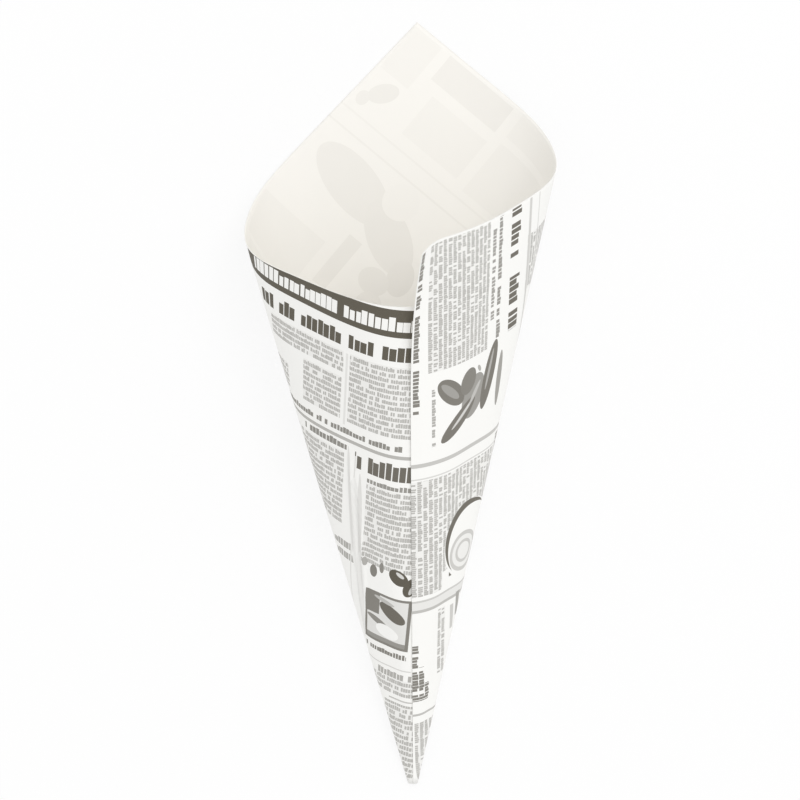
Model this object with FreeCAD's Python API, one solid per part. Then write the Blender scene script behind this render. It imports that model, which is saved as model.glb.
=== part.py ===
import FreeCAD, Part
import bisect
import math
import os
from FreeCAD import Vector

# A paper cone cup. One sheet is rolled about its corner, which becomes the tip. The outer flap
# laps over the inner flap, and the sheet's far corner stands up at the mouth as a peak.
# The cone lies on its flattened back, with the tip towards -Y, the mouth towards +Y and the
# seam on top. The origin is on the ground, below the middle of the cone.

# The flat sheet, in millimetres. Its corner at the tip is a right angle.
seam_edge = 220.0       # from the tip to the mouth, the edge that shows as the seam
hidden_edge = 195.0     # from the tip to the mouth, the edge that lies under the outer flap
peak_along = 218.5      # place of the far corner, measured along the seam edge
peak_across = 180.5     # and square to the seam edge
paper = 0.25            # thickness of the sheet

# How the sheet is rolled.
overlap = 19.0          # how far the outer flap laps over, at the seam's upper end
flap_gap = 0.10         # room between the two flaps
seam_rise = 0.5         # how much further the seam's upper end stands off
oval_share = 0.097      # wider than deep, as a share of the section's mean radius
corner_share = 0.126    # drawn out to three rounded corners, as a share of that radius

# The tip is pressed to a small blunt end.
tip_height = 1.6        # distance from the point where the straight sides would meet
tip_width = 3.4
tip_depth = 1.6

# Fineness of the curves. Narrow strips keep each face nearly plane.
section_steps = 1440
widest_strip = math.radians(1.6)
points_per_strip = 4

right_angle = math.pi / 2
overlap_angle = overlap / seam_edge
wrap_angle = right_angle - overlap_angle
peak_angle = math.atan2(peak_across, peak_along)
lap = paper + flap_gap


def section_outline(radius):
    """The closed section one unit from the tip, and the first and last step of its flat back.

    x runs to the side and y to the back. It starts at the seam, which is at the front, and it
    has three rounded corners. Where the back would dip inwards, it runs straight instead.
    """
    outline = []
    for step in range(section_steps + 1):
        turn = 2 * math.pi * step / section_steps
        reach = radius * (1 - oval_share * math.cos(2 * turn) + corner_share * math.cos(3 * turn))
        outline.append(Vector(reach * math.sin(turn), -reach * math.cos(turn), 1))
    rear_half = range(section_steps // 4, section_steps // 2 + 1)
    first = max(rear_half, key=lambda step: outline[step].y)
    last = section_steps - first
    for step in range(first, last + 1):
        outline[step].y = outline[first].y
    return outline, first, last


def unrolled(outline):
    """The angle in the flat sheet at each step of the section."""
    angles = [0.0]
    for before, after in zip(outline, outline[1:]):
        angles.append(angles[-1] + before.getAngle(after))
    return angles


def closing_radius():
    """The section's mean radius for which the sheet goes round once and laps over."""
    low, high = 0.02, 1.0
    while high - low > 1e-12:
        middle = (low + high) / 2
        if unrolled(section_outline(middle)[0])[-1] < wrap_angle:
            low = middle
        else:
            high = middle
    return low


outline, flat_first, flat_last = section_outline(closing_radius())
outline_angles = unrolled(outline)
flat_start = outline_angles[flat_first]
flat_end = outline_angles[flat_last]
back = outline[flat_first].y
front = outline[0].y
section_width = max(point.x for point in outline) - min(point.x for point in outline)
ground_tilt = math.atan(back)


def outline_point(angle):
    """The section's point at an angle in the flat sheet, counted from the seam edge."""
    angle = angle % outline_angles[-1]
    step = min(max(bisect.bisect_right(outline_angles, angle), 1), section_steps)
    share = (angle - outline_angles[step - 1]) / (outline_angles[step] - outline_angles[step - 1])
    return outline[step - 1] + (outline[step] - outline[step - 1]) * share


def laid_down(point):
    """Tips the cone over until its flat back is on the ground."""
    sine, cosine = math.sin(ground_tilt), math.cos(ground_tilt)
    return Vector(point.x, sine * point.y + cosine * point.z, sine * point.z - cosine * point.y)


def mouth_distance(angle):
    """Distance from the tip corner to the far edges of the flat sheet."""
    if angle <= peak_angle:
        near, far = (seam_edge, 0.0), (peak_along, peak_across)
    else:
        near, far = (0.0, hidden_edge), (peak_along, peak_across)
    run, rise = far[0] - near[0], far[1] - near[1]
    return (near[0] * rise - near[1] * run) / (math.cos(angle) * rise - math.sin(angle) * run)


def on_tip(angle):
    point = outline_point(angle)
    across = point.x * tip_width / section_width
    rearwards = back * tip_height + (point.y - back) * tip_depth / (back - front)
    return laid_down(Vector(across, rearwards, tip_height))


def on_mouth(angle, distance):
    return laid_down(outline_point(angle).normalize() * distance)


def lift(angle):
    """How far the sheet's outer side lies outside the inner flap's outer side."""
    if angle <= overlap_angle:
        return lap
    if angle >= flat_start:
        return 0.0
    share = (angle - overlap_angle) / (flat_start - overlap_angle)
    return lap * (1 + math.cos(math.pi * share)) / 2


def rise(angle):
    """How much further the outer flap stands off at the mouth."""
    return seam_rise * max(0.0, 1 - angle / overlap_angle) ** 2


def outwards(angle, at_tip):
    """The direction square to the sheet, away from the inside of the cone."""
    if flat_start <= angle <= flat_end:
        return Vector(0, 0, -1)
    place = on_tip if at_tip else lambda turned: on_mouth(turned, mouth_distance(angle))
    little = 0.001
    along = place(angle + little) - place(angle - little)
    straight = on_mouth(angle, mouth_distance(angle)) - on_tip(angle)
    return along.cross(straight).normalize()


def side_points(angle):
    """Outer and inner points of the sheet at the tip and at the mouth, for one angle."""
    tip, mouth = on_tip(angle), on_mouth(angle, mouth_distance(angle))
    out_tip, out_mouth = outwards(angle, True), outwards(angle, False)
    mouth_lift = lift(angle) + rise(angle)
    return {
        "tip outer": tip + out_tip * lift(angle),
        "tip inner": tip + out_tip * (lift(angle) - paper),
        "mouth outer": mouth + out_mouth * mouth_lift,
        "mouth inner": mouth + out_mouth * (mouth_lift - paper),
    }


def evenly(start, end, parts):
    """The ends of equal parts of a range."""
    return [start + (end - start) * part / parts for part in range(parts + 1)]


def strip_ends():
    """The angles at which one strip of the sheet ends and the next begins."""
    ends = [0.0]
    for start, end in ((0.0, flat_start), (flat_end, right_angle)):
        ends += evenly(start, end, math.ceil((end - start) / widest_strip))
    return sorted(set(ends + [peak_angle]))


def line_curve(start, end):
    line = Part.BSplineCurve()
    line.buildFromPoles([start, end], False, 1)
    return line


def curve(name, start, end):
    """One edge of the sheet between two angles, which on the flat back is straight."""
    if start >= flat_start and end <= flat_end:
        return line_curve(side_points(start)[name], side_points(end)[name])
    angles = evenly(start, end, points_per_strip - 1)
    spline = Part.BSplineCurve()
    spline.interpolate(Points=[side_points(angle)[name] for angle in angles], Parameters=angles)
    return spline


def swept_face(one, other):
    """The face swept by a straight line from one curve to the other."""
    surface = Part.BSplineSurface()
    surface.buildFromPolesMultsKnots(
        [one.getPoles(), other.getPoles()],
        [2, 2], one.getMultiplicities(), [0, 1], one.getKnots(), False, False, 1, one.Degree,
    )
    return surface.toShape()


def flat_face(one, other):
    """The plane face between two straight lines."""
    corners = one.getPoles() + other.getPoles()[::-1]
    return Part.Face(Part.makePolygon(corners + corners[:1]))


def straight_side(angle):
    """The cut edge of the sheet along one of the two sides that meet at the tip."""
    points = side_points(angle)
    outer = line_curve(points["tip outer"], points["mouth outer"])
    inner = line_curve(points["tip inner"], points["mouth inner"])
    return swept_face(outer, inner)


def paper_cup():
    ends = strip_ends()
    faces = [straight_side(0.0), straight_side(right_angle)]
    for start, end in zip(ends, ends[1:]):
        edges = {name: curve(name, start, end) for name in side_points(start)}
        on_flat_back = start >= flat_start and end <= flat_end
        face = flat_face if on_flat_back else swept_face
        faces.append(face(edges["tip outer"], edges["mouth outer"]))
        faces.append(face(edges["tip inner"], edges["mouth inner"]))
        faces.append(face(edges["mouth outer"], edges["mouth inner"]))
        faces.append(face(edges["tip outer"], edges["tip inner"]))
    shell = Part.makeShell(faces)
    shell.sewShape()
    cup = Part.makeSolid(shell)
    if cup.Volume < 0:
        cup.reverse()
    box = cup.optimalBoundingBox()
    cup.translate(Vector(-box.Center.x, -box.Center.y, 0))
    return cup


os.makedirs("parts", exist_ok=True)
cup = paper_cup()
cup.exportStep("parts/paper_cup.step")
box = cup.optimalBoundingBox()
print(f"Cup {box.XLength:.1f} wide, {box.YLength:.1f} long, {box.ZLength:.1f} high, "
      f"valid {cup.isValid()}, {cup.Volume:.0f} cubic mm")
print(f"The flat back runs from {math.degrees(flat_start):.1f} to {math.degrees(flat_end):.1f} "
      f"degrees of the sheet, and the peak is at {math.degrees(peak_angle):.1f}")
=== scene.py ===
# %% [markdown]
# # A rolled paper cone
# The object is a food cone: one oblong sheet of thin printed paper, rolled about one of its
# corners. It lies on its flattened back with the seam on top, the blunt tip towards -Y and the
# mouth towards +Y. We load the measured frame first and keep its box, which places the paper
# later on.

# %% Load the frame
import bpy
import math
import numpy as np
from mathutils import Matrix, Vector


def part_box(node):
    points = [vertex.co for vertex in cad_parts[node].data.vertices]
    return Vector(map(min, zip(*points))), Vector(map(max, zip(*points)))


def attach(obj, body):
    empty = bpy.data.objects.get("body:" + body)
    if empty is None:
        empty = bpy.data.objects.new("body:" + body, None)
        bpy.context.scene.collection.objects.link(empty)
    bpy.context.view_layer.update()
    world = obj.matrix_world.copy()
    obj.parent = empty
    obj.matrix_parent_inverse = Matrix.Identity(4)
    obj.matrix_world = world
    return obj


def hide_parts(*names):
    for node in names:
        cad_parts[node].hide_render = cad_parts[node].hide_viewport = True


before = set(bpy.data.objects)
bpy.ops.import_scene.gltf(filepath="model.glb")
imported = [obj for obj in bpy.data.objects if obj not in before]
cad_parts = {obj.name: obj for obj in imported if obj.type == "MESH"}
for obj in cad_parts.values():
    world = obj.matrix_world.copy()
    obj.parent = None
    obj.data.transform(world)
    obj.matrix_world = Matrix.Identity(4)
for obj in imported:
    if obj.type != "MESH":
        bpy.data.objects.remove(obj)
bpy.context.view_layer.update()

cup_low, cup_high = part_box("paper_cup")
print("cup box in mm:", [round(1000 * side) for side in cup_high - cup_low])

# %% [markdown]
# ## The flat sheet
# Before it is rolled, the cone is a sheet with four straight edges. We describe it flat, in
# metres, with the tip at one corner: x runs along the seam edge and y across it. Polar
# coordinates about the tip suit the rolling, because a straight line from the tip stays
# straight on a cone. So each point of the paper has an angle and a share of the way out.

# %% Flat sheet sizes
SEAM_EDGE = 0.220
HIDDEN_EDGE = 0.195
PEAK = (0.2185, 0.1805)
PAPER = 0.00025
OVERLAP = 0.019
FLAP_GAP = 0.0001
SEAM_RISE = 0.0005

RIGHT_ANGLE = math.pi / 2
overlap_angle = OVERLAP / SEAM_EDGE
wrap_angle = RIGHT_ANGLE - overlap_angle
peak_angle = math.atan2(PEAK[1], PEAK[0])


def mouth_distance(angle):
    """Distance from the tip to the far edges of the flat sheet, for an array of angles."""
    def to_edge(near, far):
        run, rise = far[0] - near[0], far[1] - near[1]
        return (near[0] * rise - near[1] * run) / (np.cos(angle) * rise - np.sin(angle) * run)
    return np.where(angle <= peak_angle, to_edge((SEAM_EDGE, 0), PEAK), to_edge((0, HIDDEN_EDGE), PEAK))


print("laps over by", round(math.degrees(overlap_angle), 1), "degrees of the sheet")

# %% [markdown]
# ## The rolled section
# Cut across, the cone is an oval drawn out to three soft corners, with a flat back where it
# lies on the table. We could draw this outline with a curve object, but a short formula lets
# us measure how much paper each part of it takes. The outline's size is not free: it is the
# one for which the sheet goes round exactly once and laps over, so we search for it.

# %% Section of the cone
OVAL_SHARE = 0.097
CORNER_SHARE = 0.126
SECTION_STEPS = 2880
SEARCH_END = 1e-10


def section_outline(radius):
    """The closed section one unit from the tip, starting at the seam."""
    turn = np.linspace(0, 2 * math.pi, SECTION_STEPS + 1)
    reach = radius * (1 - OVAL_SHARE * np.cos(2 * turn) + CORNER_SHARE * np.cos(3 * turn))
    outline = np.stack([reach * np.sin(turn), -reach * np.cos(turn), np.ones_like(turn)], axis=1)
    quarter, half = SECTION_STEPS // 4, SECTION_STEPS // 2
    first = quarter + int(np.argmax(outline[quarter:half + 1, 1]))
    outline[first:SECTION_STEPS - first + 1, 1] = outline[first, 1]
    return outline, first


def unrolled(outline):
    """The angle in the flat sheet at each step of the section."""
    way = outline / np.linalg.norm(outline, axis=1)[:, None]
    steps = 2 * np.arcsin(np.linalg.norm(np.diff(way, axis=0), axis=1) / 2)
    return np.concatenate([[0], np.cumsum(steps)])


low, high = 0.02, 1.0
while high - low > SEARCH_END:
    middle = (low + high) / 2
    if unrolled(section_outline(middle)[0])[-1] < wrap_angle:
        low = middle
    else:
        high = middle
outline, flat_first = section_outline(low)
outline_angles = unrolled(outline)
flat_start = outline_angles[flat_first]
flat_end = outline_angles[SECTION_STEPS - flat_first]
back, front = outline[flat_first, 1], outline[0, 1]
section_width = np.ptp(outline[:, 0])
ground_tilt = math.atan(back)
print("section radius", round(low, 4), "of the distance from the tip")

# %% [markdown]
# ## From the flat sheet to the rolled one
# Every point of the paper lies on a straight line from the tip to the mouth. The tip itself is
# pressed to a small blunt end a few millimetres wide, so the lines start on a small oval and
# not at a single point. Then the whole cone is tipped over until its flat back is on the
# ground.

# %% Lines from the tip to the mouth
TIP_HEIGHT = 0.0016
TIP_WIDTH = 0.0034
TIP_DEPTH = 0.0016


def outline_point(angle):
    """The section's point at angles in the flat sheet."""
    wrapped = np.mod(angle, outline_angles[-1])
    return np.stack([np.interp(wrapped, outline_angles, outline[:, i]) for i in range(3)], axis=-1)


def laid_down(points):
    """The points after the cone is tipped over onto its flat back."""
    sine, cosine = math.sin(ground_tilt), math.cos(ground_tilt)
    x, y, z = points[..., 0], points[..., 1], points[..., 2]
    return np.stack([x, sine * y + cosine * z, sine * z - cosine * y], axis=-1)


def on_tip(angle):
    """Where the lines start, on the small oval of the tip."""
    point = outline_point(angle)
    across = point[..., 0] * TIP_WIDTH / section_width
    rearwards = back * TIP_HEIGHT + (point[..., 1] - back) * TIP_DEPTH / (back - front)
    return laid_down(np.stack([across, rearwards, np.full_like(across, TIP_HEIGHT)], axis=-1))


def on_mouth(angle, distance):
    """Where the lines end, at the given distance from the tip."""
    point = outline_point(angle)
    way = point / np.linalg.norm(point, axis=-1)[..., None]
    return laid_down(way * distance[..., None])


def unit(vectors):
    return vectors / np.linalg.norm(vectors, axis=-1)[..., None]


print("tip is", TIP_WIDTH * 1000, "mm wide")

# %% [markdown]
# ## How the paper departs from the plain form
# Thin paper is never quite true. Small heights are added square to the paper. The outer
# flap lies one thickness further out than the inner flap. Long soft waves run up the cone, the
# same for both flaps so that they still lie together, and none on the flat back, and two low
# pleats stand on the front. Last, the free corner of the outer flap, at the top of the seam,
# curls up, and is drawn back along the sheet by as much paper as the curl takes. All of this
# could be sculpted by hand, but as formulas it stays the same each time and is easy to change.

# %% Lift, waves and the curled corner
WAVE_HEIGHT = 0.0007
WAVE_GROWTH = 1.3
FLAT_MARGIN = math.radians(9)
# share of the height, waves around the cone, start, and turn on the way up
WAVES = [(0.55, 5, 1.3, 1.1), (0.45, 8, 4.0, -2.3)]
# start and end in the flat sheet, half width, height
PLEATS = [
    ((0.0375, 0.134), (0.0255, 0.055), 0.0016, 0.0012),
    ((0.0340, 0.128), (0.0235, 0.060), 0.0013, 0.0009),
]
PLEAT_END = 0.02
CURL_REACH = 0.0145
CURL_RADIUS = 0.011
CURL_WAY = (0.20, -0.98)


def smooth(value):
    value = np.clip(value, 0, 1)
    return value * value * (3 - 2 * value)


def lift(angle, share):
    """Height of the sheet's outer side over the inner flap's outer side."""
    eased = 1 - smooth((angle - overlap_angle) / (flat_start - overlap_angle))
    rise = SEAM_RISE * np.clip(1 - angle / overlap_angle, 0, None) ** 2
    return (PAPER + FLAP_GAP) * eased + rise * share


def waves(angle, share):
    """Long soft waves up the cone, none on the flat back and the same on both flaps."""
    wrapped = np.mod(angle, wrap_angle)
    around = 2 * math.pi * wrapped / wrap_angle
    to_flat = np.maximum(flat_start - wrapped, wrapped - flat_end)
    off_ground = smooth(to_flat / FLAT_MARGIN)
    shape = sum(part * np.sin(times * around + start + turn * share) for part, times, start, turn in WAVES)
    return WAVE_HEIGHT * shape * share ** WAVE_GROWTH * off_ground


def pleats(flat_x, flat_y):
    """Two low ridges where the paper was nipped, beside each other near the middle of the front."""
    height = 0
    for start, end, half_width, rise in PLEATS:
        length = math.dist(start, end)
        way = ((end[0] - start[0]) / length, (end[1] - start[1]) / length)
        down = (flat_x - start[0]) * way[0] + (flat_y - start[1]) * way[1]
        beside = np.abs((flat_y - start[1]) * way[0] - (flat_x - start[0]) * way[1])
        fading = smooth(down / PLEAT_END) * smooth((length - down) / PLEAT_END)
        height = height + rise * fading * np.clip(1 - beside / half_width, 0, 1)
    return height


def curl(flat_x, flat_y):
    """How far the seam's upper corner comes up, and how far it is drawn back along the sheet."""
    beyond = np.clip(CURL_REACH - CURL_WAY[0] * (SEAM_EDGE - flat_x) + CURL_WAY[1] * flat_y, 0, None)
    up = CURL_RADIUS * (1 - np.cos(beyond / CURL_RADIUS))
    drawn = beyond - CURL_RADIUS * np.sin(beyond / CURL_RADIUS)
    return up, drawn


print("the corner comes up by", round(1000 * float(curl(SEAM_EDGE, 0.0)[0]), 1), "mm")

# %% [markdown]
# ## The sheet as a mesh
# A cloth simulation could roll a sheet, but it would stretch it and never land on the measured
# form. A grid of straight lines gives the exact form, and each grid point also knows where it
# lies in the flat sheet, which is what the print needs later. The grid is made twice, for the
# two sides of the paper, and closed by narrow strips along the cut edges.

# %% Grid of the sheet
EVEN_COLUMNS = 240
FLAP_COLUMNS = 60
ROWS = 150
ROW_SPREAD = 0.85
SMALL_STEP = 0.001

even = np.linspace(0, 1, EVEN_COLUMNS)
on_flap = np.linspace(0, overlap_angle / RIGHT_ANGLE, FLAP_COLUMNS, endpoint=False)
column_angles = np.unique(np.concatenate([even * RIGHT_ANGLE, on_flap * RIGHT_ANGLE, [peak_angle]]))
row_shares = np.linspace(0, 1, ROWS) ** ROW_SPREAD
angle, share = np.meshgrid(column_angles, row_shares, indexing="ij")
distance = mouth_distance(angle)
tip_points, mouth_points = on_tip(angle), on_mouth(angle, distance)
middle_points = tip_points + (mouth_points - tip_points) * share[..., None]
along = unit(mouth_points - tip_points)


def turned_by(step):
    """The grid's points after a small turn about the tip."""
    start, end = on_tip(angle + step), on_mouth(angle + step, distance)
    return start * (1 - share[..., None]) + end * share[..., None]


outwards = unit(np.cross(turned_by(SMALL_STEP) - turned_by(-SMALL_STEP), along))
on_flat = (angle >= flat_start) & (angle <= flat_end)
outwards[on_flat] = (0, 0, -1)
sideways = np.cross(along, outwards)

flat_distance = share * distance
flat_x, flat_y = flat_distance * np.cos(angle), flat_distance * np.sin(angle)
corner_up, corner_drawn = curl(flat_x, flat_y)
curl_angle = math.atan2(CURL_WAY[1], CURL_WAY[0])
towards_corner = (along * np.cos(angle - curl_angle)[..., None]
                  - sideways * np.sin(angle - curl_angle)[..., None])
surface = middle_points - towards_corner * corner_drawn[..., None]
height = lift(angle, share) + waves(angle, share) + pleats(flat_x, flat_y) + corner_up
outer_points = surface + outwards * height[..., None]
inner_points = surface + outwards * (height - PAPER)[..., None]
print("grid", angle.shape, "highest point in mm", round(1000 * outer_points[..., 2].max(), 1))

# %% [markdown]
# Now the grid becomes one closed mesh. Two sets of flat coordinates go with it. The first,
# named Sheet, holds the true place in the flat sheet in metres, for the print. The second lays
# the printed side, the plain side and the cut edges out beside each other without overlaps,
# which is the layout to use whenever the finish is to be saved as a picture.

# %% Build the paper mesh
columns, rows = angle.shape
count = columns * rows
vertices = np.concatenate([outer_points.reshape(-1, 3), inner_points.reshape(-1, 3)])


def index(column, row, inner=False):
    return column * rows + row + (count if inner else 0)


faces = []
face_slots = []
for column in range(columns - 1):
    for row in range(rows - 1):
        corners = [(column, row), (column, row + 1), (column + 1, row + 1), (column + 1, row)]
        faces.append([index(*corner) for corner in corners[::-1]])
        faces.append([index(*corner, inner=True) for corner in corners])
        face_slots += [0, 1]

border = [(column, 0) for column in range(columns)]
border += [(columns - 1, row) for row in range(1, rows)]
border += [(column, rows - 1) for column in range(columns - 2, -1, -1)]
border += [(0, row) for row in range(rows - 2, 0, -1)]
for here, there in zip(border, border[1:] + border[:1]):
    faces.append([index(*there), index(*there, inner=True), index(*here, inner=True), index(*here)][::-1])
    face_slots.append(2)

mesh = bpy.data.meshes.new("rolled sheet")
mesh.from_pydata(vertices.tolist(), [], faces)
mesh.polygons.foreach_set("material_index", face_slots)
print(len(vertices), "points and", len(faces), "faces")

# %% Flat coordinates
flat_places = np.stack([flat_x.reshape(-1), flat_y.reshape(-1)], axis=1)
flat_places = np.concatenate([flat_places, flat_places])
corner_vertices = np.empty(len(mesh.loops), dtype=int)
mesh.loops.foreach_get("vertex_index", corner_vertices)
corner_slots = np.repeat(face_slots, [len(face) for face in faces])

places = flat_places[corner_vertices]
sheet_map = mesh.uv_layers.new(name="Sheet")
sheet_map.data.foreach_set("uv", places.reshape(-1))

PRINTED_SCALE, PLAIN_SCALE = 3.95, 1.05
PRINTED_START, PLAIN_START, CUT_START = (0.01, 0.01), (0.01, 0.79), (0.30, 0.86)
CUT_LENGTH, CUT_WIDTH = 0.68, 0.02

layout = np.where(corner_slots[:, None] == 0, places * PRINTED_SCALE, places * PLAIN_SCALE)
layout[corner_slots == 0] += PRINTED_START
layout[corner_slots == 1] += PLAIN_START
cut_steps = np.arange(len(border)) / len(border)
layout[corner_slots == 2] = np.stack([
    np.stack([CUT_START[0] + CUT_LENGTH * (cut_steps + step / len(border)),
              np.full(len(border), CUT_START[1] + CUT_WIDTH * lane)], axis=1)
    for step, lane in ((0, 0), (1, 0), (1, 1), (0, 1))
], axis=1).reshape(-1, 2)
bake_map = mesh.uv_layers.new(name="OFBake")
bake_map.data.foreach_set("uv", layout.reshape(-1))
mesh.uv_layers.active = bake_map
print("layout spans", layout.min(axis=0).round(2), "to", layout.max(axis=0).round(2))

# %% [markdown]
# ## Place the paper in the frame
# The formula puts the point where the cone's sides would meet at the origin. The frame has its
# origin below the middle of the cone. So we shift the paper until the middle of its plain form,
# without waves or curl, lies over the middle of the measured box. The piece stands for the
# measured solid, and rides on the one body.

# %% Put the sheet in its place
plain_outer = middle_points + outwards * lift(angle, share)[..., None]
plain_middle = (plain_outer.reshape(-1, 3).max(axis=0) + plain_outer.reshape(-1, 3).min(axis=0)) / 2
frame_middle = (cup_low + cup_high) / 2
tip_place = Vector((frame_middle.x - plain_middle[0], frame_middle.y - plain_middle[1], 0))
mesh.transform(Matrix.Translation(tip_place))
for polygon in mesh.polygons:
    polygon.use_smooth = True
paper_cup = bpy.data.objects.new("rolled_sheet", mesh)
bpy.context.scene.collection.objects.link(paper_cup)
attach(paper_cup, "root")
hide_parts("paper_cup")
print("tip at", [round(1000 * value, 1) for value in tip_place])

# %% [markdown]
# ## Tools for wiring shader nodes
# A finish in Blender is a small network of nodes. Adding each node by hand takes several lines,
# so a few helpers keep the rest short. They add a node and link what goes into it, start a node
# group with named inputs and outputs, and place a group in a tree.

# %% Node helpers
SOCKETS = {"vector": "NodeSocketVector", "value": "NodeSocketFloat"}


def add(tree, kind, *inputs, **settings):
    """Adds a node; each input is a value, a socket to link, or None to leave as it is."""
    node = tree.nodes.new(kind)
    for name, setting in settings.items():
        setattr(node, name, setting)
    for socket, given in zip(node.inputs, inputs):
        if isinstance(given, bpy.types.NodeSocket):
            tree.links.new(given, socket)
        elif given is not None:
            socket.default_value = given
    return node


def maths(tree, operation, *inputs):
    return add(tree, "ShaderNodeMath", *inputs, operation=operation).outputs[0]


def vector_maths(tree, operation, *inputs):
    return add(tree, "ShaderNodeVectorMath", *inputs, operation=operation).outputs[0]


def new_group(name, inputs, outputs):
    """A shader node group; inputs and outputs are written as 'kind Name'."""
    tree = bpy.data.node_groups.new(name, "ShaderNodeTree")
    for direction, entries in (("INPUT", inputs), ("OUTPUT", outputs)):
        for entry in entries:
            kind, label = entry.split(" ", 1)
            tree.interface.new_socket(label, in_out=direction, socket_type=SOCKETS[kind])
    given = tree.nodes.new("NodeGroupInput").outputs
    wanted = tree.nodes.new("NodeGroupOutput").inputs
    return tree, given, wanted


def use_group(tree, group, **inputs):
    """Places a group in a tree, with its inputs given by name; underscores stand for spaces."""
    node = tree.nodes.new("ShaderNodeGroup")
    node.node_tree = group
    for name, given in inputs.items():
        socket = node.inputs[name.replace("_", " ")]
        if isinstance(given, bpy.types.NodeSocket):
            tree.links.new(given, socket)
        else:
            socket.default_value = given
    return node


print("node helpers ready")

# %% [markdown]
# ## Printed blocks, and ovals of print and painted shade
# A newspaper page is mostly blocks: headlines, columns, rules, pictures. Two small groups can
# draw all of them, by saying whether a place lies inside a shape. The oval group also draws the
# pale grey stripes of painted shade along the pleats. A block with its sides along the sheet
# only needs its distance in two directions compared. An oval may also be turned, and its
# distance from the middle is measured in half sizes, so that its edge is always at one.

# %% Node group for a printed block
printed_block, given, wanted = new_group(
    "Printed block",
    ["value Along", "value Away", "value Middle Along", "value Middle Away",
     "value Half Length", "value Half Width"],
    ["value Inside"],
)
in_length = maths(printed_block, "COMPARE", given["Along"], given["Middle Along"], given["Half Length"])
in_width = maths(printed_block, "COMPARE", given["Away"], given["Middle Away"], given["Half Width"])
printed_block.links.new(maths(printed_block, "MULTIPLY", in_length, in_width), wanted["Inside"])
print(printed_block.name, "has", len(printed_block.nodes), "nodes")

# %% Node group for an oval of print and painted shade
print_and_shade_oval, given, wanted = new_group(
    "Print and shade oval", ["vector Place", "vector Middle", "vector Half Size", "value Turn"], ["value Inside"])
turned_place = add(print_and_shade_oval, "ShaderNodeVectorRotate", given["Place"], given["Middle"],
                   rotation_type="Z_AXIS")
print_and_shade_oval.links.new(maths(print_and_shade_oval, "MULTIPLY", given["Turn"], -1.0), turned_place.inputs["Angle"])
from_middle = vector_maths(print_and_shade_oval, "SUBTRACT", turned_place.outputs[0], given["Middle"])
in_halves = vector_maths(print_and_shade_oval, "DIVIDE", from_middle, given["Half Size"])
reach_out = add(print_and_shade_oval, "ShaderNodeVectorMath", in_halves, operation="LENGTH").outputs["Value"]
print_and_shade_oval.links.new(maths(print_and_shade_oval, "LESS_THAN", reach_out, 1.0), wanted["Inside"])
print(print_and_shade_oval.name, "has", len(print_and_shade_oval.nodes), "nodes")

# %% [markdown]
# ## Greeked lines
# Designers call it greeking: rows of plain little blocks that look like words from a distance
# but spell nothing. The group cuts the sheet into rows and each row into letter cells. A random
# number for each cell makes it a taller or a shorter block, or leaves it empty as the gap
# between two words. The random numbers come from the cell's own place, so they never change.

# %% Node group for greeked lines
LEAST_HEIGHT, MORE_HEIGHT = 0.7, 0.35
LEAST_WIDTH, MORE_WIDTH = 0.72, 0.24
ROW_SHIFT = 50.0

greeked_lines, given, wanted = new_group(
    "Greeked lines",
    ["value Along", "value Away", "value Row Pitch", "value Letter Width",
     "value Row Fill", "value Word Gaps"],
    ["value Ink"],
)
row_place = maths(greeked_lines, "DIVIDE", given["Away"], given["Row Pitch"])
row_number = maths(greeked_lines, "FLOOR", row_place)
row_share = maths(greeked_lines, "FRACT", row_place)
row_draw = add(greeked_lines, "ShaderNodeTexWhiteNoise", None, row_number, noise_dimensions="1D").outputs[0]
letter_place = maths(greeked_lines, "MULTIPLY_ADD", row_draw, ROW_SHIFT,
                     maths(greeked_lines, "DIVIDE", given["Along"], given["Letter Width"]))
letter_number = maths(greeked_lines, "FLOOR", letter_place)
letter_share = maths(greeked_lines, "FRACT", letter_place)
cell = add(greeked_lines, "ShaderNodeCombineXYZ", letter_number, row_number, given["Row Pitch"]).outputs[0]
draw = add(greeked_lines, "ShaderNodeTexWhiteNoise", cell, noise_dimensions="3D")
three_draws = add(greeked_lines, "ShaderNodeSeparateColor", draw.outputs["Color"]).outputs
inked_cell = maths(greeked_lines, "GREATER_THAN", three_draws[0], given["Word Gaps"])
letter_top = maths(greeked_lines, "MULTIPLY", given["Row Fill"],
                   maths(greeked_lines, "MULTIPLY_ADD", three_draws[1], MORE_HEIGHT, LEAST_HEIGHT))
letter_end = maths(greeked_lines, "MULTIPLY_ADD", three_draws[2], MORE_WIDTH, LEAST_WIDTH)
in_letter = maths(greeked_lines, "MULTIPLY", maths(greeked_lines, "LESS_THAN", row_share, letter_top),
                  maths(greeked_lines, "LESS_THAN", letter_share, letter_end))
greeked_lines.links.new(maths(greeked_lines, "MULTIPLY", inked_cell, in_letter), wanted["Ink"])
print(greeked_lines.name, "has", len(greeked_lines.nodes), "nodes")
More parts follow.
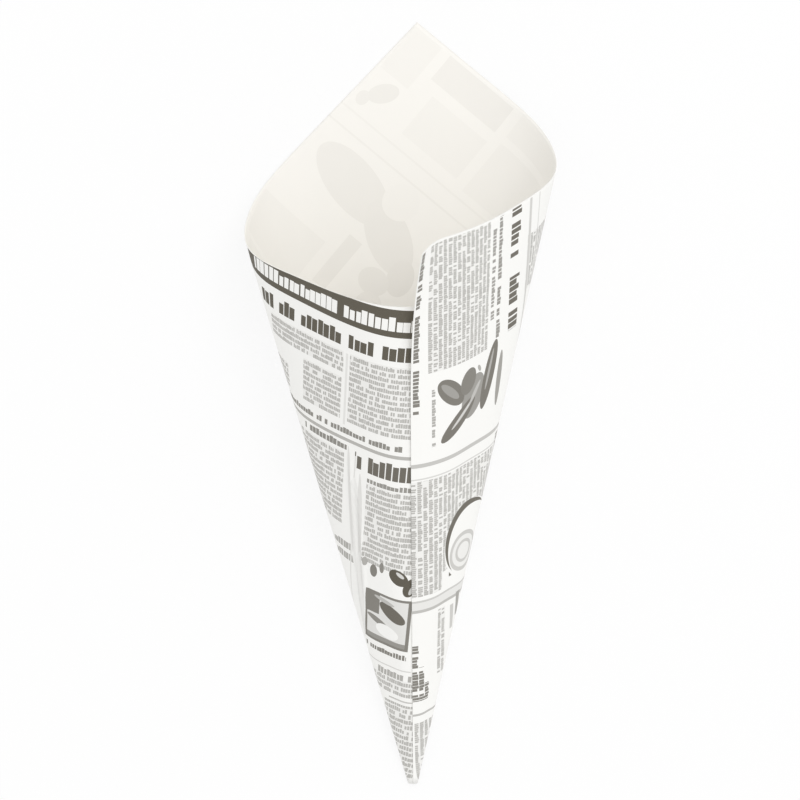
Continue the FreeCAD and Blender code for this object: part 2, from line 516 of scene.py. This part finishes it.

# %% [markdown]
# ## The page
# The print is laid out on the flat sheet in millimetres: along the seam edge, and away from it.
# The lists are our own make-up of a newspaper page in simple shapes: columns of small text on
# one grid of rows, headings with letters of their own size, and pictures built up from blocks
# and ovals, painted one over the other. An image would do it too, but shapes stay sharp at any
# size and are easy to move about. The first ovals are not print but pale grey stripes of
# painted shade along the two pleats of the front.

# %% Columns of small text: along from, along to, away from, away to
NEAR_SEAM_COLUMNS = [
    (167, 219, 6.6, 36.8), (77, 124, 0.0, 13.0), (100, 124, 13.2, 44.6), (84, 100, 13.2, 17.4),
    (42, 69, 11.0, 15.2), (0.5, 25, 0.5, 28.6),
]
BY_HIDDEN_EDGE_COLUMNS = [
    (3, 38.5, 140.8, 169.4), (41.5, 80, 160.6, 169.4), (70, 88, 140.8, 151.8), (42, 61, 140.8, 158.4),
    (3, 28.0, 85.8, 118.8), (39, 64, 96.8, 127.6), (2, 28, 35.2, 41.8), (0.5, 14, 24.2, 31.8),
    (0.3, 14, 2.2, 24.0),
]
FAR_SIDE_COLUMNS = [
    (66, 100, 90.2, 127.6), (62, 100, 39.6, 83.6), (104, 128, 55.0, 118.8), (136, 168, 66.0, 105.6),
    (94, 110, 138.6, 182.6), (112, 134, 154.0, 184.8), (183, 201, 132.0, 158.4), (197, 217, 167.2, 180.4),
    (181, 204, 92.4, 127.6), (207, 218, 92.4, 127.6), (181, 204, 61.6, 88.0),
]
TEXT_COLUMNS = NEAR_SEAM_COLUMNS + BY_HIDDEN_EDGE_COLUMNS + FAR_SIDE_COLUMNS
print(len(TEXT_COLUMNS), "columns")

# %% Headings: along from, along to, away from, away to, letter width, ink
HEADINGS = [
    (0, 90, 183.6, 189.2, 2.7, 1.0), (0, 86, 171.6, 177.8, 2.9, 1.0),
    (12, 88, 135.4, 137.8, 1.5, 0.8), (3, 12, 135.4, 137.8, 1.5, 0.8),
    (4, 34.0, 123.2, 130.2, 2.6, 0.95), (38, 60, 128.8, 131.6, 1.8, 0.8), (3, 29, 119.2, 121.4, 1.5, 0.75),
    (32, 44, 87.0, 90.0, 1.6, 0.6), (31, 43, 82.4, 85.4, 1.6, 0.6),
    (6.5, 25, 50.4, 52.6, 1.2, 0.85), (4, 19, 41.8, 44.6, 1.4, 0.6),
    (150, 219, 0.8, 3.3, 1.5, 0.85), (168, 219, 42.2, 44.6, 1.5, 0.75), (178, 215, 38.4, 40.6, 1.4, 0.7),
    (194, 219, 50.0, 56.6, 2.4, 0.95), (169, 191, 50.0, 56.6, 2.5, 0.95),
    (137, 160, 8.0, 9.6, 1.1, 0.6), (34, 57, 0.0, 2.2, 1.2, 0.85), (34, 48, 2.2, 4.4, 1.2, 0.85),
    (34, 41, 4.4, 6.4, 1.2, 0.85), (104, 128, 46.0, 51.0, 2.6, 0.9), (136, 168, 108.0, 113.0, 2.6, 0.9),
]
print(len(HEADINGS), "headings")

# %% Blocks: along from, along to, away from, away to, ink
BEHIND_HEADINGS = [(0, 96, 181.2, 192.4, 1.0)]
RULES = [
    (0, 72, 132.4, 133.8, 0.55), (4.5, 28, 45.8, 46.3, 0.3), (0.5, 12, 33.0, 33.6, 0.45),
    (39.4, 40.4, 139.0, 169.0, 0.16), (154, 219, 61.8, 63.4, 0.35), (154, 219, 68.6, 69.2, 0.3),
    (129.6, 131.2, 0, 50, 0.45), (124.6, 125.2, 0, 50, 0.3), (70.4, 75.4, 0, 30, 0.16),
    (74.6, 75.4, 0, 30, 0.4), (70.4, 71.6, 0, 30, 0.5), (28.0, 28.9, 0, 12, 0.5),
    (58, 68, 18.0, 20.0, 0.4), (62, 72, 21.5, 24.0, 0.65),
    (170.6, 171.4, 75, 184, 0.55), (177.4, 178.2, 75, 184, 0.45), (33.4, 34.0, 60, 128, 0.2),
]
PICTURE_BLOCKS = [
    (6.2, 25.2, 54.2, 75.2, 0.85), (7.4, 24.2, 55.2, 74.2, 0.2), (19.0, 24.2, 66.0, 74.2, 0.85),
    (7.4, 24.2, 55.2, 57.0, 0.75), (80.4, 82.4, 17.0, 30.0, 0.95),
    (205.5, 217, 132.0, 163.0, 0.7), (120, 142, 143.0, 149.0, 0.75),
]
print(len(BEHIND_HEADINGS + RULES + PICTURE_BLOCKS), "blocks")

# %% Ovals: along, away, half length, half width, turn in degrees, ink
# The first four ovals are not print: they are pale grey stripes of painted shade along the two pleats of
# the front.
PLEAT_SHADE_STRIPES = [
    (31.9, 99.0, 20.0, 3.0, 85, 0.06), (34.9, 109.0, 22.0, 1.0, 84, 0.2),
    (29.8, 100.0, 21.5, 0.9, 86, 0.22), (27.4, 71.0, 18.0, 1.2, 84, 0.14),
]
FRAMED_PICTURE = [
    (13.5, 68.4, 6.0, 2.6, 28, 0.95), (19.0, 63.0, 5.4, 1.2, 20, 0.8), (17.0, 72.6, 4.6, 0.8, 10, 0.5),
    (15.0, 60.0, 5.0, 2.6, 10, 0.0), (12.0, 84.0, 4.0, 2.8, 35, 1.0), (7.4, 80.6, 2.4, 4.0, 20, 1.0),
    (11.4, 85.2, 1.8, 0.7, 35, 0.3), (7.0, 79.6, 0.7, 2.0, 20, 0.4), (22.6, 83.4, 1.6, 2.6, 0, 0.85),
    (19.0, 86.0, 1.0, 2.2, 0, 0.8), (26.6, 86.0, 1.0, 1.8, 0, 0.6),
]
LEAVES = [
    (151, 29.0, 9.0, 6.0, 30, 0.72), (156, 38.6, 13.5, 3.2, 18, 0.9), (156.5, 17.0, 8.0, 4.2, 132, 0.88),
    (158, 26.0, 5.4, 4.0, 30, 0.85), (144, 21.0, 11.0, 3.0, 54, 0.9), (152, 45.0, 11.0, 1.5, 8, 0.7),
    (146, 23.4, 8.0, 0.7, 54, 0.35), (157, 16.4, 5.6, 1.6, 132, 0.7), (152, 30.0, 5.0, 1.0, 40, 0.5),
    (158, 38.8, 8.0, 0.7, 18, 0.6), (161, 32.4, 1.6, 0.8, -30, 0.6),
]
RINGS = [
    (92.0, 29.0, 16.0, 15.0, 0, 0.0), (93.0, 28.4, 15.0, 14.0, 0, 0.95), (90.8, 30.2, 15.0, 14.0, 0, 0.0),
    (88.0, 25.6, 8.0, 8.4, 0, 0.4), (88.0, 25.6, 6.4, 6.8, 0, 0.1), (88.0, 25.6, 4.6, 4.9, 0, 0.4),
    (88.0, 25.6, 3.4, 3.6, 0, 0.1),
]
FAR_SIDE_PICTURE = [
    (157, 160, 9.0, 19.0, -12, 0.75), (150, 137, 8.0, 15.0, -30, 0.85), (163, 142, 7.0, 7.0, 0, 0.1),
    (141, 124, 7.0, 5.0, 20, 1.0), (134, 131, 5.0, 6.0, 0, 0.8), (190, 173, 6.0, 3.6, -40, 0.85),
    (184, 178, 3.0, 2.4, 0, 0.7), (126, 127, 5.0, 5.0, 0, 0.7), (116, 131, 8.0, 3.0, 30, 0.6),
]
OVALS = PLEAT_SHADE_STRIPES + FRAMED_PICTURE + LEAVES + RINGS + FAR_SIDE_PICTURE
print(len(OVALS), "ovals")

# %% [markdown]
# ## The page as a node group
# The same page is seen twice: sharp on the printed side, and as soft warm shadows through the
# thin paper on the plain side. So the group gives two values, the fine ink and a soft tone in
# which each column of text is one even grey. All headings share one set of greeked lines: each
# heading's area first writes its own letter size into a style, and the lines are drawn in it.

# %% Start the page group
NO_LIMIT = 1e6

newspaper_page, given, wanted = new_group("Newspaper page", ["vector Place"], ["value Ink", "value Tone"])
page_place = add(newspaper_page, "ShaderNodeSeparateXYZ", given["Place"]).outputs


def block_area(along_from, along_to, away_from, away_to):
    """One inside a block of the page and nought outside it."""
    node = use_group(newspaper_page, printed_block, Along=page_place[0], Away=page_place[1],
                     Middle_Along=(along_from + along_to) / 2, Middle_Away=(away_from + away_to) / 2,
                     Half_Length=(along_to - along_from) / 2, Half_Width=(away_to - away_from) / 2)
    return node.outputs["Inside"]


def oval_area(along, away, half_length, half_width, turn):
    """One inside an oval of the page and nought outside it."""
    node = use_group(newspaper_page, print_and_shade_oval, Place=given["Place"], Middle=(along, away, 0),
                     Half_Size=(half_length, half_width, NO_LIMIT), Turn=math.radians(turn))
    return node.outputs["Inside"]


def paint(under, area, ink):
    """Ink, and the painted shade of the pleat stripes, laid over what is there already, inside an area."""
    node = add(newspaper_page, "ShaderNodeMix", area, None, under, ink, data_type="FLOAT")
    return node.outputs[0]


print("page group started")

# %% Columns of text on one grid of rows
COLUMN_INK = 0.46
COLUMN_GREY = 0.08
SMALL_TEXT = dict(Row_Pitch=2.2, Letter_Width=0.85, Row_Fill=0.78, Word_Gaps=0.13)

columns_area = 0.0
for column in TEXT_COLUMNS:
    columns_area = maths(newspaper_page, "MAXIMUM", columns_area, block_area(*column))
column_lines = use_group(newspaper_page, greeked_lines, Along=page_place[0], Away=page_place[1],
                         **SMALL_TEXT).outputs["Ink"]
grey_lines = maths(newspaper_page, "MULTIPLY_ADD", column_lines, COLUMN_INK, COLUMN_GREY)
columns_ink = maths(newspaper_page, "MULTIPLY", grey_lines, columns_area)
print("columns drawn:", len(TEXT_COLUMNS))

# %% Headings, each in its own letter size
HEADING_FILL = 0.98
HEADING_GAPS = 0.12

heading_style = (1.0, 1.0, 0.0)
heading_ink = 0.0
for *span, letter_width, ink in HEADINGS:
    area = block_area(*span)
    style = (letter_width, span[3] - span[2], span[2])
    heading_style = add(newspaper_page, "ShaderNodeMix", area, None, None, None, heading_style, style,
                        data_type="VECTOR").outputs[1]
    heading_ink = paint(heading_ink, area, ink)
letter_width, row_pitch, row_start = add(newspaper_page, "ShaderNodeSeparateXYZ", heading_style).outputs
heading_lines = use_group(newspaper_page, greeked_lines, Along=page_place[0],
                          Away=maths(newspaper_page, "SUBTRACT", page_place[1], row_start),
                          Row_Pitch=row_pitch, Letter_Width=letter_width,
                          Row_Fill=HEADING_FILL, Word_Gaps=HEADING_GAPS).outputs["Ink"]
headings_ink = maths(newspaper_page, "MULTIPLY", heading_lines, heading_ink)
print("headings drawn:", len(HEADINGS))

# %% Paint blocks and ovals over the text
COLUMN_TONE = 0.33
HEADING_TONE = 0.5

fine = maths(newspaper_page, "MAXIMUM", columns_ink, headings_ink)
soft = maths(newspaper_page, "MAXIMUM", maths(newspaper_page, "MULTIPLY", columns_area, COLUMN_TONE),
             maths(newspaper_page, "MULTIPLY", heading_ink, HEADING_TONE))
for *span, ink in BEHIND_HEADINGS:
    area = block_area(*span)
    fine = paint(fine, area, maths(newspaper_page, "SUBTRACT", ink, fine))
    soft = paint(soft, area, ink)
for *span, ink in RULES + PICTURE_BLOCKS:
    area = block_area(*span)
    fine, soft = paint(fine, area, ink), paint(soft, area, ink)
for *oval, ink in OVALS:
    area = oval_area(*oval)
    fine, soft = paint(fine, area, ink), paint(soft, area, ink)
newspaper_page.links.new(fine, wanted["Ink"])
newspaper_page.links.new(soft, wanted["Tone"])
print(newspaper_page.name, "has", len(newspaper_page.nodes), "nodes")

# %% [markdown]
# ## Paper fibre
# Cheap paper is a felt of short fibres. Up close it is slightly uneven in tone and in height.
# One fine noise does that, and all three parts of the sheet use it: the printed side, the plain
# side and the cut edge. Real fibres could be modelled, but at this size they are only a grain.

# %% Node group for paper fibre
NOISE_SCALE, NOISE_DETAIL, NOISE_ROUGHNESS = 1.0, 2.0, 0.6

paper_fibre, given, wanted = new_group(
    "Paper fibre", ["vector Place", "value Fibre Size"], ["value Mottle", "value Height"])
fibre_place = add(paper_fibre, "ShaderNodeVectorMath", given["Place"], operation="SCALE")
paper_fibre.links.new(maths(paper_fibre, "DIVIDE", 1.0, given["Fibre Size"]), fibre_place.inputs["Scale"])
fibres = add(paper_fibre, "ShaderNodeTexNoise", fibre_place.outputs[0], None,
             NOISE_SCALE, NOISE_DETAIL, NOISE_ROUGHNESS, noise_dimensions="2D")
paper_fibre.links.new(fibres.outputs[0], wanted["Mottle"])
paper_fibre.links.new(fibres.outputs[0], wanted["Height"])
print(paper_fibre.name, "has", len(paper_fibre.nodes), "nodes")

# %% [markdown]
# ## The three finishes
# The printed side is white paper with olive black ink that soaks in, so it stays matt, and the
# same ink colour at low strength paints the shade along the pleats. The plain side is the same
# paper without a coating, warmer, with the page showing through. Where the sheet is cut, only
# bare paper shows.

# %% Colours of paper and ink
PRINTED_PAPER = (0.935, 0.93, 0.905, 1)
PLAIN_PAPER = (0.915, 0.895, 0.85, 1)
# The ink colour also paints the grey shade along the pleats, and the colour behind it shows that painted
# shade through the paper.
INK = (0.080, 0.067, 0.042, 1)
INK_BEHIND = (0.30, 0.27, 0.22, 1)
SHOW_THROUGH = 0.12
EDGE_MOTTLE = 0.1
# lowest and highest mottle, and the strength of the ink at each
UNEVEN_INK = (0.3, 0.7, 1.0, 0.95)
PAPER_ROUGHNESS = 0.62
FIBRE_SIZE = 0.25
FIBRE_HEIGHT = 0.00003
FIBRE_STRENGTH = 0.25
TO_MILLIMETRES = (1000, 1000, 1000)


def paper_material(name, paper_colour, second_colour, amount_from):
    """A matt paper finish in two colours; amount_from puts in the nodes that mix them."""
    material = bpy.data.materials.new(name)
    material.use_nodes = True
    tree = material.node_tree
    shader = tree.nodes["Principled BSDF"]
    flat_place = add(tree, "ShaderNodeUVMap", uv_map="Sheet").outputs[0]
    place = vector_maths(tree, "MULTIPLY", flat_place, TO_MILLIMETRES)
    fibre = use_group(tree, paper_fibre, Place=place, Fibre_Size=FIBRE_SIZE)
    amount = amount_from(tree, place, fibre)
    mixed = add(tree, "ShaderNodeMix", data_type="RGBA")
    mixed.inputs["A"].default_value = paper_colour
    mixed.inputs["B"].default_value = second_colour
    tree.links.new(amount, mixed.inputs["Factor"])
    tree.links.new(mixed.outputs["Result"], shader.inputs["Base Color"])
    shader.inputs["Roughness"].default_value = PAPER_ROUGHNESS
    bump = add(tree, "ShaderNodeBump")
    bump.inputs["Strength"].default_value = FIBRE_STRENGTH
    bump.inputs["Distance"].default_value = FIBRE_HEIGHT
    tree.links.new(fibre.outputs["Height"], bump.inputs["Height"])
    tree.links.new(bump.outputs[0], shader.inputs["Normal"])
    return material


def page_ink(tree, place, fibre):
    page = use_group(tree, newspaper_page, Place=place)
    uneven = add(tree, "ShaderNodeMapRange", fibre.outputs["Mottle"], *UNEVEN_INK).outputs[0]
    return maths(tree, "MULTIPLY", page.outputs["Ink"], uneven)


def show_through(tree, place, fibre):
    page = use_group(tree, newspaper_page, Place=place)
    return maths(tree, "MULTIPLY", page.outputs["Tone"], SHOW_THROUGH)


def bare_paper(tree, place, fibre):
    return maths(tree, "MULTIPLY", fibre.outputs["Mottle"], EDGE_MOTTLE)


for material in (paper_material("printed side", PRINTED_PAPER, INK, page_ink),
                 paper_material("plain side", PLAIN_PAPER, INK_BEHIND, show_through),
                 paper_material("cut edge", PRINTED_PAPER, PLAIN_PAPER, bare_paper)):
    mesh.materials.append(material)
print("materials:", [material.name for material in mesh.materials])

# %% [markdown]
# ## Table and light
# The photo has a clean white ground. The table is a large pale sheet: seen by the camera it is
# close to white, and it still takes the cone's soft shadow. The light is an even white sky with
# one wide lamp high up, beyond the mouth and to the right, so that the folds of the paper have a
# lighter and a darker side. Both the table and the sky are white to look at through one small
# helper, which tells the camera's rays from those that carry light.

# %% Table
TABLE_HALF = 4.0
TABLE_DROP = 0.0003
TABLE_GLOW = 0.85


def looked_at(tree):
    """One for rays from the camera, also by way of a mirror or glass, and nought for light."""
    ray = add(tree, "ShaderNodeLightPath").outputs
    reflected = maths(tree, "MAXIMUM", ray["Is Glossy Ray"], ray["Is Transmission Ray"])
    return maths(tree, "MAXIMUM", ray["Is Camera Ray"], reflected)


table_mesh = bpy.data.meshes.new("table")
table_corners = [(TABLE_HALF * x, TABLE_HALF * y, 0) for x, y in ((-1, -1), (1, -1), (1, 1), (-1, 1))]
table_mesh.from_pydata(table_corners, [], [(0, 1, 2, 3)])
table = bpy.data.objects.new("table", table_mesh)
table.location.z = -TABLE_DROP
bpy.context.scene.collection.objects.link(table)
table_material = bpy.data.materials.new("white table")
table_material.use_nodes = True
tree = table_material.node_tree
shader = add(tree, "ShaderNodeBsdfDiffuse", (0.9, 0.9, 0.9, 1))
glow = add(tree, "ShaderNodeEmission", (1, 1, 1, 1), 1.0)
glow_share = maths(tree, "MULTIPLY", looked_at(tree), TABLE_GLOW)
blend = add(tree, "ShaderNodeMixShader", glow_share, shader.outputs[0], glow.outputs[0])
tree.links.new(blend.outputs[0], tree.nodes["Material Output"].inputs[0])
table_mesh.materials.append(table_material)
print("table", 2 * TABLE_HALF, "m wide")

# %% Sky and lamp
SKY_STRENGTH = 0.9
LAMP_PLACE = Vector((0.7, 1.0, 2.1))

world = bpy.data.worlds.new("studio")
bpy.context.scene.world = world
world.use_nodes = True
tree = world.node_tree
sky_level = add(tree, "ShaderNodeMapRange", looked_at(tree), 0.0, 1.0, SKY_STRENGTH, 1.0).outputs[0]
tree.links.new(sky_level, tree.nodes["Background"].inputs["Strength"])
tree.nodes["Background"].inputs["Color"].default_value = (1, 1, 1, 1)

lamp_data = bpy.data.lights.new("wide lamp", "AREA")
lamp_data.shape = "SQUARE"
lamp_data.size = 1.2
lamp_data.energy = 13
lamp = bpy.data.objects.new("wide lamp", lamp_data)
lamp.location = LAMP_PLACE
lamp.rotation_euler = LAMP_PLACE.to_track_quat("Z", "Y").to_euler()
bpy.context.scene.collection.objects.link(lamp)
print("sky", SKY_STRENGTH, "lamp", lamp_data.energy, "W")

# %% [markdown]
# ## Camera
# The photo was taken from straight above with a long lens: the mouth's edges hardly converge.
# The camera leans a few degrees to one side, as found by matching the paper's corners and
# sides, and is turned a little about its own axis. The axis passes slightly below the middle of
# the cone, so the camera moves with its aim instead of shifting its lens.

# %% Camera
CAMERA_DISTANCE = 3.234
CAMERA_ROLL = math.radians(1.7)
LENS = 396.4
CONE_MIDDLE = Vector((0, 0.15125, 0.02896))
AIM_LOWER, AIM_LEFT = 0.00775, 0.0002

back_way = Vector((-0.0856, 0.0026, 0.9963)).normalized()
level_right = Vector((0.9962, -0.0164, 0.0856)).normalized()
level_up = back_way.cross(level_right)
camera_right = math.cos(CAMERA_ROLL) * level_right - math.sin(CAMERA_ROLL) * level_up
camera_up = back_way.cross(camera_right)
aim = tip_place + CONE_MIDDLE - AIM_LOWER * camera_up - AIM_LEFT * camera_right
camera_data = bpy.data.cameras.new("camera")
camera_data.lens = LENS
camera_data.sensor_width = 36
camera_data.clip_end = 50
camera = bpy.data.objects.new("camera", camera_data)
camera_turn = Matrix((camera_right, camera_up, back_way)).transposed().to_4x4()
camera.matrix_world = Matrix.Translation(aim + back_way * CAMERA_DISTANCE) @ camera_turn
bpy.context.scene.collection.objects.link(camera)
bpy.context.scene.camera = camera
print("camera at", [round(value, 3) for value in camera.location])

# %% [markdown]
# ## Colour
# Colours are shown as they are written, without a film look.

# %% Finish
view_settings = bpy.context.scene.view_settings
view_settings.view_transform = "Standard"
